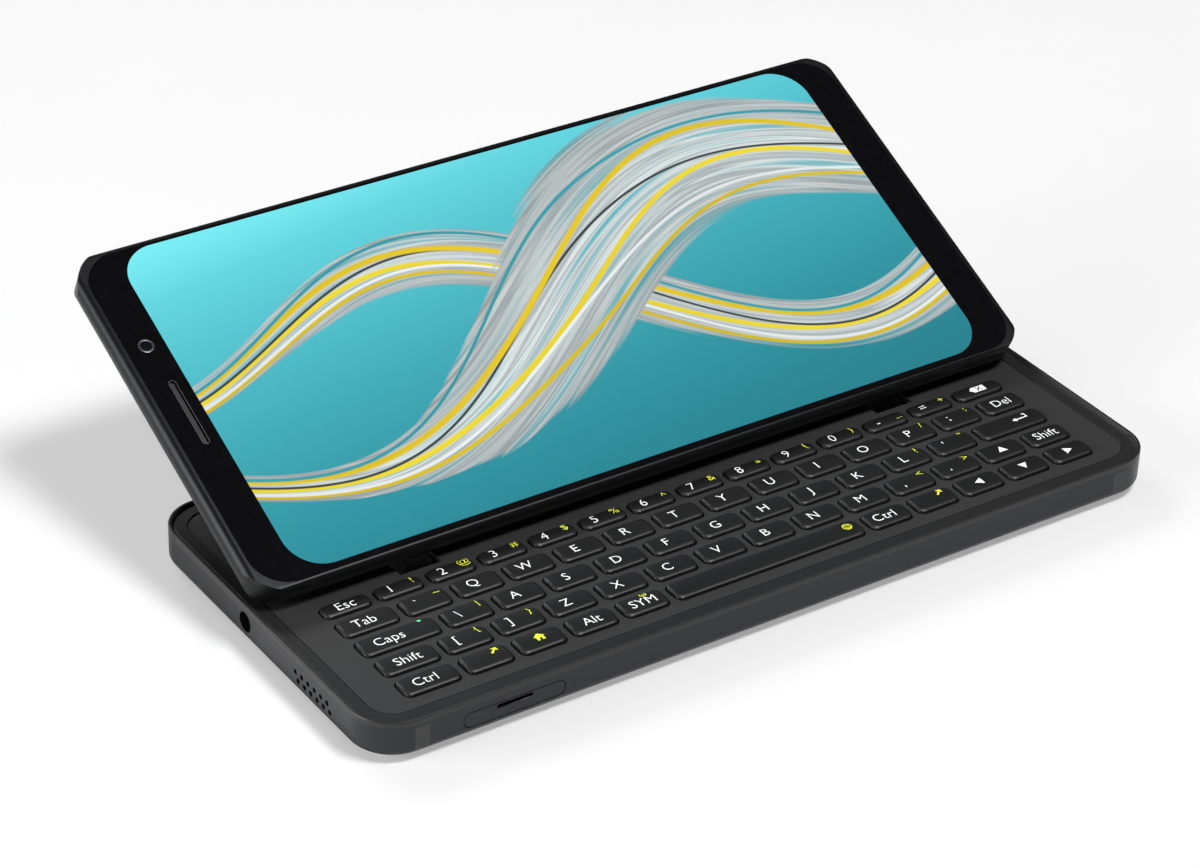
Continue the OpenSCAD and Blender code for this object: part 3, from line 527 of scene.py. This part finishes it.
def place_sign(form, cap, sign, small, keys, index):
    """Lays one sign on a cap, bent to its dome."""
    if sign.startswith("<") and len(sign) > 1:
        marks = drawn(sign)
        for mark in marks:
            mark.transform(TO_METRES)
        dx, dy = (SMALL_SIGN_SHIFT if small else BIG_SIGN_SHIFT).get(sign, (0, 0))
    else:
        marks = [lettering(sign, keys.shifted if small else keys.sign, -0.02 * MM)]
        number = cap.depth < 4 * MM
        if small:
            dx, dy = SHIFTED_NUMBER_SHIFT if number else SHIFTED_SHIFT
        elif len(sign) > 1:
            dx, dy = WORD_SHIFT.get(sign, 0), 0
        else:
            dx, dy = PAIR_SHIFT if number or sign in "[]\\`;',." else LETTER_SHIFT
    lift = 0.015 * MM
    for mark in marks:
        sliced(mark)
        cap.lay(mark, dx * MM, dy * MM, lift)
        for polygon in mark.polygons:
            polygon.material_index = index
        form.from_mesh(mark)
        bpy.data.meshes.remove(mark)


def add_touch_bar(form, cap):
    """The raised bar by which the fingers find F and J."""
    touch = bar(0.3, -0.95, 1.9, -0.95, 0.3)
    touch.transform(TO_METRES)
    cap.lay(touch, 0, 0, 0.08 * MM)
    form.from_mesh(touch)
    bpy.data.meshes.remove(touch)


class PHONE_OT_keys(bpy.types.Operator):
    """Makes every key cap with its lettering"""
    bl_idname = "phone.keys"
    bl_label = "Key caps"

    def execute(self, context):
        keys, colours = context.scene.phone_keys, context.scene.phone_colours
        cap_plastic = surface("Key plastic", colours.caps, 0.44, grain=1500, bump=0.01 * MM, specular=0.4)
        # The white and yellow signs get a small glow of painted light on top of their ink
        inks = [cap_plastic, glowing_ink("White ink with painted glow", colours.white, 0.25),
                glowing_ink("Yellow ink with painted glow", colours.yellow, 0.25),
                glowing_ink("Green light", (0.10, 0.75, 0.35), 0.5)]
        tree = key_tree()
        forms = {}
        for row, (start, depth, signs) in enumerate(ROWS):
            step = 0
            for i, (node, main, shifted, span) in enumerate(signs):
                x0 = -FIELD if i == 0 else start * MM + PITCH * step
                step += span if i else 0
                x1 = FIELD if i == len(signs) - 1 else start * MM + PITCH * step - WEB
                cap = Cap(x0, x1, FRONT_ROW + ROW_STEP * row, depth * MM, keys)
                columns = max(24, int(cap.width / (0.3 * MM)))
                mesh = run_tree(tree, "cap", {
                    "Width": cap.width, "Depth": cap.depth, "Corner": keys.corner, "Dome": keys.dome,
                    "Edge": keys.edge, "Edge Width": keys.edge_width, "Skirt": keys.skirt, "Columns": columns,
                    "Rows": keys.rows, "Material": cap_plastic})
                mesh.transform(Matrix.Translation((cap.x, cap.y, KEY_TOP)))
                form = forms.setdefault(node, bmesh.new())
                form.from_mesh(mesh)
                bpy.data.meshes.remove(mesh)
                if main:
                    place_sign(form, cap, main, False, keys, 1)
                if shifted:
                    place_sign(form, cap, shifted, True, keys, 3 if shifted == "<light>" else 2)
                if main in ("F", "J"):
                    add_touch_bar(form, cap)
        for node, form in forms.items():
            mesh = bpy.data.meshes.new(node)
            form.to_mesh(mesh)
            form.free()
            add_piece(node + "_caps", mesh, inks, node, [node])
        return {"FINISHED"}


# ------------------------------------------------------------------ base half

class PHONE_OT_base(bpy.types.Operator):
    """Finishes the base half: metal wall, deck, rim, sockets and what shows through them"""
    bl_idname = "phone.base"
    bl_label = "Base half"

    def execute(self, context):
        c = context.scene.phone_colours
        metal = surface("Anodised metal", c.metal, 0.34, metallic=0.85, grain=2200, bump=0.004 * MM)
        cover = surface("Back cover", scaled(c.metal, 0.8), 0.45, metallic=0.7, grain=1800, bump=0.004 * MM)
        band = surface("Antenna line", scaled(c.metal, 0.8), 0.5, grain=1500)
        deck = surface("Deck plastic", c.deck, 0.5, grain=1600, bump=0.012 * MM)
        rim = surface("Rim plastic", c.rim, 0.38, grain=1200, spread=0.08)
        dark = surface("Dark plastic", (0.012, 0.012, 0.013), 0.55)
        steel = surface("Hinge steel", (0.30, 0.30, 0.31), 0.34, metallic=1.0, grain=1800)
        board = surface("Circuit board", (0.02, 0.10, 0.05), 0.45, grain=700, spread=0.4)
        contact = surface("Bright contact", (0.55, 0.55, 0.57), 0.25, metallic=1.0)
        lens = surface("Camera glass", (0.008, 0.008, 0.012), 0.06, spread=0.3, coat=0.5)
        glow = surface("Lamp window", (0.75, 0.70, 0.50), 0.3, grain=1500, spread=0.3)
        smooth_copy("side_frame", metal, bevel=0.08 * MM)
        smooth_copy("back_cover", cover)
        smooth_copy("deck_frame", rim, bevel=0.04 * MM)
        smooth_copy("keyboard_deck", deck, bevel=0.06 * MM)
        smooth_copy("rear_panel", deck, bevel=0.06 * MM)
        smooth_copy("antenna_bands", band)
        for node in ("sim_tray", "volume_rocker", "power_button", "shutter_button"):
            smooth_copy(node, metal, bevel=0.1 * MM)
        finish(dark, "key_mat", "headphone_socket", "speaker_left", "speaker_right", "battery")
        finish(board, "keyboard_board", "main_board")
        finish(steel, "board_shields", "board_screws", "sim_reader", "vibration_motor", "hinge_bracket_left",
               "hinge_bracket_right", "front_arm_left", "front_arm_right", "rear_arm_left", "rear_arm_right")
        finish(contact, "usb_c_socket", "hinge_pins")
        finish(lens, "camera_window", "rear_cameras")
        finish(glow, "flash_light")
        return {"FINISHED"}


# ------------------------------------------------------------------ display half

TILT = math.radians(24.8)
DISPLAY_ORIGIN = Vector((0, 1.7928, 6.0349)) * MM  # The middle of its lower back edge
GLASS_FRONT = 5.8 * MM
DISPLAY_WIDE, DISPLAY_HIGH = 154.0, 70.6  # In millimetres
CAMERA_UV = (-71.75 * MM, 50.4 * MM)
EARPIECE_UV = (-71.1 * MM, 36.2 * MM)
EARPIECE_LONG, EARPIECE_WIDE = 13 * MM, 1.1 * MM


def display_to_frame():
    """Turns the display's own frame, u across, v up and w from its back to its glass, into the phone's."""
    return Matrix.Translation(DISPLAY_ORIGIN) @ Matrix.Rotation(TILT, 4, "X")


# The clear lines in a ribbon: place across it as a share of its half width, half width
# of the line in millimetres, and colour
RIBBON_LINES = (
    (-0.62, 0.45, (0.82, 0.62, 0.02)), (-0.18, 0.62, (0.86, 0.70, 0.03)), (0.12, 0.3, (0.05, 0.06, 0.06)),
    (0.38, 0.7, (0.84, 0.62, 0.02)), (0.70, 0.4, (0.06, 0.42, 0.50)), (-0.42, 0.35, (0.90, 0.95, 0.95)))


def screen_glass(name):
    """Black glass with the lit picture behind it: a sea-coloured field and two flowing ribbons."""
    material, g, bsdf = new_material(name)
    place = g.add("ShaderNodeTexCoord").outputs["Object"]
    moved = g.add("ShaderNodeMapping", place, vector_type="TEXTURE")
    moved.inputs["Location"].default_value = DISPLAY_ORIGIN
    moved.inputs["Rotation"].default_value = (TILT, 0, 0)
    moved.inputs["Scale"].default_value = (MM, MM, MM)
    spot = g.add("ShaderNodeSeparateXYZ", moved)
    u, v = spot.outputs[0], spot.outputs[1]

    # The lit area: a rounded rectangle, 137 by 66.5 mm
    half_u, half_v, centre_v, radius = 68.5, 33.25, 35.6, 6.5
    qu = g.math("MAXIMUM", g.math("SUBTRACT", g.math("ABSOLUTE", u), half_u - radius), 0.0)
    off_v = g.math("ABSOLUTE", g.math("SUBTRACT", v, centre_v))
    qv = g.math("MAXIMUM", g.math("SUBTRACT", off_v, half_v - radius), 0.0)
    reach = g.math("SQRT", g.math("ADD", g.math("MULTIPLY", qu, qu), g.math("MULTIPLY", qv, qv)))
    lit = g.math("LESS_THAN", reach, radius)

    # The field: light at the upper left, deep at the lower middle
    down = g.math("SUBTRACT", 1.0, g.math("DIVIDE", v, DISPLAY_HIGH))
    across = g.math("ADD", g.math("DIVIDE", u, DISPLAY_WIDE), 0.5)
    depth = g.math("ADD", g.math("MULTIPLY", down, 0.78), g.math("MULTIPLY", across, 0.22))
    field = g.ramp(depth, [
        (0.02, (0.23, 0.93, 0.98)), (0.16, (0.12, 0.66, 0.74)), (0.45, (0.055, 0.43, 0.50)),
        (0.75, (0.025, 0.27, 0.33)), (1.0, (0.02, 0.20, 0.25))], "B_SPLINE")

    def ribbon(under, rise, swing, wave, phase, wide, seed, start, full):
        """A band of streaks that follows a sine line; it is thin up to u = start and whole from u = full."""
        turn = g.math("MULTIPLY_ADD", u, wave, phase)
        swung = g.math("MULTIPLY_ADD", g.math("SINE", turn), swing, centre_v)
        off = g.math("SUBTRACT", v, g.math("MULTIPLY_ADD", u, rise, swung))
        steep = g.math("MULTIPLY_ADD", g.math("COSINE", turn), swing * wave, rise)
        true_off = g.math("DIVIDE", off, g.math("SQRT", g.math("MULTIPLY_ADD", steep, steep, 1.0)))
        along, aside = g.math("MULTIPLY", u, 0.009), g.math("MULTIPLY", true_off, 0.40)
        streak = g.add("ShaderNodeTexNoise", g.add("ShaderNodeCombineXYZ", along, aside, seed))
        streak.inputs["Scale"].default_value = 1.0
        streak.inputs["Detail"].default_value = 2.0
        streak.inputs["Roughness"].default_value = 0.5
        streak.inputs["Distortion"].default_value = 0.15
        paint = g.ramp(streak.outputs[0], [
            (0.26, (0.03, 0.20, 0.25)), (0.35, (0.14, 0.50, 0.57)), (0.41, (0.42, 0.55, 0.57)),
            (0.46, (0.66, 0.72, 0.72)), (0.52, (0.40, 0.46, 0.48)), (0.57, (0.78, 0.82, 0.81)),
            (0.64, (0.20, 0.52, 0.58)), (0.74, (0.85, 0.90, 0.90))])
        breath = g.math("SINE", g.math("MULTIPLY_ADD", u, 0.031, phase + 1.1))
        width = g.math("MULTIPLY_ADD", breath, 0.3 * wide, wide)
        grown = g.add("ShaderNodeMapRange", u, start, full, 0.3, 1.0, clamp=True,
                      interpolation_type="SMOOTHSTEP")
        width = g.math("MULTIPLY", width, grown.outputs[0])
        for place_in, line, tone in RIBBON_LINES:
            sway = g.math("SINE", g.math("MULTIPLY_ADD", u, 0.05 + 0.02 * line, 7 * line))
            wander = g.math("MULTIPLY_ADD", sway, 0.12, place_in)
            apart = g.math("ABSOLUTE", g.math("SUBTRACT", true_off, g.math("MULTIPLY", width, wander)))
            inked = g.add("ShaderNodeMapRange", apart, line * 0.55, line, 1.0, 0.0, clamp=True).outputs[0]
            paint = g.mix(inked, paint, rgba(tone))
        edge = g.math("SUBTRACT", 1.0, g.math("DIVIDE", g.math("ABSOLUTE", true_off), width))
        ragged = g.math("MULTIPLY_ADD", g.math("SUBTRACT", streak.outputs[0], 0.5), 0.5, edge)
        cover = g.add("ShaderNodeMapRange", ragged, 0.0, 0.06, 0.0, 1.0, clamp=True).outputs[0]
        shade = g.math("MULTIPLY_ADD", g.math("MINIMUM", g.math("MAXIMUM", edge, 0.0), 1.0), 0.35, 0.7)
        toned = g.add("ShaderNodeMix", data_type="RGBA", blend_type="MULTIPLY")
        toned.inputs[0].default_value = 1.0
        g.put(toned.inputs[6], paint)
        g.put(toned.inputs[7], shade)
        return g.mix(cover, under, toned.outputs[2])

    picture = ribbon(field, -0.16, 13.0, 0.048, 2.5, 7.5, 3.0, -66.0, 10.0)
    picture = ribbon(picture, 0.13, 15.0, 0.040, 0.1, 11.0, 8.0, -66.0, 14.0)
    grain = g.add("ShaderNodeTexNoise", place)
    grain.inputs["Scale"].default_value = 500
    black = g.mix(grain.outputs[0], (0.002, 0.002, 0.003, 1), (0.006, 0.006, 0.007, 1))
    g.put(bsdf.inputs["Base Color"], black)
    g.put(bsdf.inputs["Emission Color"], g.mix(lit, (0, 0, 0, 1), picture))
    bsdf.inputs["Emission Strength"].default_value = 1.0
    bsdf.inputs["Roughness"].default_value = 0.09
    bsdf.inputs["Specular IOR Level"].default_value = 0.4
    return material


def stand_on_glass(name, form, centre, material):
    """Moves a form from its own middle to its place on the display, and makes it a piece."""
    bmesh.ops.transform(form, matrix=display_to_frame() @ Matrix.Translation(centre), verts=form.verts)
    mesh = bpy.data.meshes.new(name)
    form.to_mesh(mesh)
    form.free()
    mesh.shade_smooth()
    mesh.set_sharp_from_angle(angle=math.radians(35))
    add_piece(name, mesh, [material], "display")


def turned_piece(name, profile, centre, material):
    """A round piece turned from a profile of (radius, height), standing on the glass."""
    form = bmesh.new()
    steps = 48
    loops = []
    for radius, height in profile:
        if radius == 0:
            loops.append([form.verts.new((0, 0, height))])
        else:
            turns = [2 * math.pi * i / steps for i in range(steps)]
            circle = [(radius * math.cos(a), radius * math.sin(a), height) for a in turns]
            loops.append([form.verts.new(point) for point in circle])
    for a, b in zip(loops, loops[1:]):
        for i in range(steps):
            j = (i + 1) % steps
            if len(a) == 1:
                form.faces.new((a[0], b[i], b[j]))
            elif len(b) == 1:
                form.faces.new((a[i], b[0], a[j]))
            else:
                form.faces.new((a[i], b[i], b[j], a[j]))
    bmesh.ops.recalc_face_normals(form, faces=form.faces)
    stand_on_glass(name, form, centre, material)


def slot_rim(name, length, width, thick, centre, material):
    """A thin bright lip round a long slot with round ends."""
    form = bmesh.new()
    steps = 16
    loops = []
    reach = (length - width) / 2
    for grow, height in ((thick, 0.0), (thick, 0.012 * MM), (0.0, 0.012 * MM), (0.0, -0.25 * MM)):
        loop = []
        for side in (1, -1):
            for i in range(steps + 1):
                a = math.pi * i / steps + (0 if side > 0 else math.pi)
                r = width / 2 + grow
                loop.append(form.verts.new((r * math.cos(a), r * math.sin(a) + side * reach, height)))
        loops.append(loop)
    for a, b in zip(loops, loops[1:]):
        for i in range(len(a)):
            j = (i + 1) % len(a)
            form.faces.new((a[i], a[j], b[j], b[i]))
    stand_on_glass(name, form, centre, material)


class PHONE_OT_display(bpy.types.Operator):
    """Finishes the display half: shell, bright trim, glass with the lit picture, camera and earpiece"""
    bl_idname = "phone.display"
    bl_label = "Display half"

    def execute(self, context):
        c = context.scene.phone_colours
        # The shell is the base's anodised metal darkened to 0.45: painted shade, for its walls reflecting the
        # floor in the display's own shadow
        metal = surface("Display shell metal with painted shade", scaled(c.metal, 0.45), 0.4, metallic=0.85, grain=2200,
                        bump=0.004 * MM)
        bright = surface("Polished trim", (0.02, 0.02, 0.021), 0.4, metallic=0.9, grain=2500)
        dark = surface("Dark mesh", (0.010, 0.010, 0.011), 0.6)
        steel = surface("Bracket steel", (0.28, 0.28, 0.29), 0.36, metallic=1.0, grain=1800)
        lens = surface("Lens glass", (0.006, 0.007, 0.012), 0.05, spread=0.3, coat=0.6)
        lip = surface("Lens ring", (0.10, 0.10, 0.11), 0.3, metallic=0.8)
        smooth_copy("display_shell", metal, bevel=0.08 * MM)
        smooth_copy("glass_trim", bright)
        smooth_copy("cover_glass", screen_glass("Screen glass"), bevel=0.05 * MM)
        finish(steel, "display_bracket_left", "display_bracket_right", "display_pins", "display_plate")
        finish(dark, "screen_panel", "earpiece")
        finish(lens, "front_camera")
        face = GLASS_FRONT + 0.002 * MM
        eye, ear = Vector((*CAMERA_UV, face)), Vector((*EARPIECE_UV, face))
        ring_profile = [(1.35, 0), (1.30, 0.015), (1.02, 0.015), (0.98, 0)]
        lens_profile = [(0.98, 0.001), (0.62, 0.008), (0.30, 0.014), (0, 0.015)]
        turned_piece("camera_ring", [(r * MM, h * MM) for r, h in ring_profile], eye, lip)
        turned_piece("camera_lens", [(r * MM, h * MM) for r, h in lens_profile], eye, lens)
        slot_rim("earpiece_lip", EARPIECE_LONG, EARPIECE_WIDE, 0.12 * MM, ear, lip)
        return {"FINISHED"}


# ------------------------------------------------------------------ studio

def area_light(name, place, target, width, height, watts):
    lamp = bpy.data.lights.new(name, "AREA")
    lamp.shape = "RECTANGLE"
    lamp.size, lamp.size_y = width, height
    lamp.energy = watts
    holder = bpy.data.objects.new(name, lamp)
    bpy.context.scene.collection.objects.link(holder)
    holder.location = place
    holder.rotation_euler = (Vector(target) - Vector(place)).to_track_quat("-Z", "Y").to_euler()


class PHONE_OT_stage(bpy.types.Operator):
    """Sets the camera, the pale floor, the soft lights and the white background"""
    bl_idname = "phone.stage"
    bl_label = "Studio"

    def execute(self, context):
        s = context.scene.phone_stage
        scene = context.scene
        camera = bpy.data.cameras.new("Camera")
        camera.lens = s.lens
        camera.sensor_width = 36
        camera.clip_start = 0.01
        holder = bpy.data.objects.new("Camera", camera)
        scene.collection.objects.link(holder)
        holder.location = s.place
        holder.rotation_euler = s.turn
        scene.camera = holder
        scene.view_settings.view_transform = "Standard"

        mesh = bpy.data.meshes.new("floor")
        h = s.floor / 2
        low = -0.05 * MM  # A hair under the phone, so that the two surfaces don't fight
        mesh.from_pydata([(-h, -h, low), (h, -h, low), (h, h, low), (-h, h, low)], [], [(0, 1, 2, 3)])
        floor = bpy.data.objects.new("floor", mesh)
        scene.collection.objects.link(floor)
        mesh.materials.append(self.floor_material())

        world = bpy.data.worlds.new("Studio")
        scene.world = world
        world.use_nodes = True
        g = Graph(world.node_tree)
        background = world.node_tree.nodes["Background"]
        rays = g.add("ShaderNodeLightPath").outputs
        seen = g.math("MAXIMUM", rays["Is Camera Ray"], rays["Is Transmission Ray"])
        g.put(background.inputs["Strength"], g.math("MULTIPLY_ADD", seen, 0.75, 0.25))
        area_light("Overhead softbox", (0.2, -0.3, 0.93), (0, 0, 0.01), 0.26, 0.26, 9)
        area_light("Left softbox", (-0.8, 0.15, 0.22), (-0.05, 0, 0.01), 0.5, 0.4, 6)
        area_light("Back softbox", (-0.1, 0.9, 0.7), (0, 0, 0.01), 0.6, 0.3, 4)
        return {"FINISHED"}

    def floor_material(self):
        """A white sweep that keeps the phone's shadow and shows as white from the camera."""
        material, g, bsdf = new_material("White sweep")
        place = g.add("ShaderNodeTexCoord").outputs["Object"]
        speck = g.add("ShaderNodeTexNoise", place)
        speck.inputs["Scale"].default_value = 40
        paper = g.mix(speck.outputs[0], (0.80, 0.80, 0.80, 1), (0.83, 0.83, 0.83, 1))
        g.put(bsdf.inputs["Base Color"], paper)
        bsdf.inputs["Roughness"].default_value = 0.9
        bsdf.inputs["Specular IOR Level"].default_value = 0.1
        lit = g.add("ShaderNodeEmission", (1, 1, 1, 1), 1.0)
        rays = g.add("ShaderNodeLightPath").outputs
        factor = g.math("MULTIPLY", rays["Is Camera Ray"], 0.35)
        both = g.add("ShaderNodeMixShader", factor, bsdf, lit)
        g.put(material.node_tree.nodes["Material Output"].inputs["Surface"], both)
        return material


# ------------------------------------------------------------------ panel

STEPS = (PHONE_OT_stage, PHONE_OT_base, PHONE_OT_keys, PHONE_OT_display)


class PHONE_PT_panel(bpy.types.Panel):
    """Sizes, colours and steps of the phone"""
    bl_idname = "PHONE_PT_panel"
    bl_label = "Slider phone"
    bl_space_type = "VIEW_3D"
    bl_region_type = "UI"
    bl_category = "Phone"

    def draw(self, context):
        scene = context.scene
        for group in (scene.phone_keys, scene.phone_colours, scene.phone_stage):
            box = self.layout.box()
            for name in group.__annotations__:
                box.prop(group, name)
        for step in STEPS:
            self.layout.operator(step.bl_idname)


CLASSES = (KeySettings, ColourSettings, StageSettings, *STEPS, PHONE_PT_panel)


def register():
    for cls in CLASSES:
        bpy.utils.register_class(cls)
    bpy.types.Scene.phone_keys = PointerProperty(type=KeySettings)
    bpy.types.Scene.phone_colours = PointerProperty(type=ColourSettings)
    bpy.types.Scene.phone_stage = PointerProperty(type=StageSettings)


def unregister():
    for name in ("phone_keys", "phone_colours", "phone_stage"):
        delattr(bpy.types.Scene, name)
    for cls in reversed(CLASSES):
        bpy.utils.unregister_class(cls)


def main():
    register()
    for step in (bpy.ops.phone.stage, bpy.ops.phone.base, bpy.ops.phone.keys, bpy.ops.phone.display):
        step()
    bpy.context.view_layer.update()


if __name__ == "__main__":
    main()
